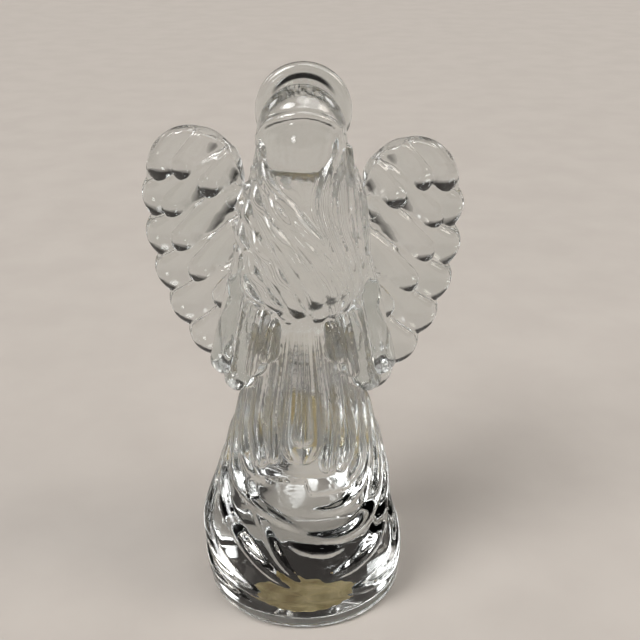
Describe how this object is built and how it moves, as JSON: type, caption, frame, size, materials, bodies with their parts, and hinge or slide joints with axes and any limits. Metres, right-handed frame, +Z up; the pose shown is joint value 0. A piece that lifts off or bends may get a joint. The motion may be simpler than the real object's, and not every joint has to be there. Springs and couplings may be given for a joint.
{
  "type": "crystal glass figurine",
  "caption": "Clear crystal angel figurine with a halo, feathered wings, long flowing hair and a flared, folded robe on a round solid foot that stands by itself.",
  "frame": {"origin": "middle of the foot's rest face, which is the lowest and middle point of the figurine", "axes": "+Z up, -Y the way the face looks, +X towards the side of the right_wing node, on the right of someone who faces the figurine"},
  "size_m": [0.0902, 0.058, 0.15],
  "materials": {
    "crystal": "clear lead crystal, pressed and fire polished",
    "gold_foil": "dull gold embossed foil label"
  },
  "bodies": {
    "root": {"foot": "crystal", "robe": "crystal", "torso": "crystal", "mantle": "crystal", "head": "crystal", "halo": "crystal", "left_wing": "crystal", "right_wing": "crystal", "left_sleeve": "crystal", "right_sleeve": "crystal", "foil_label": "gold_foil"}
  },
  "joints": []
}
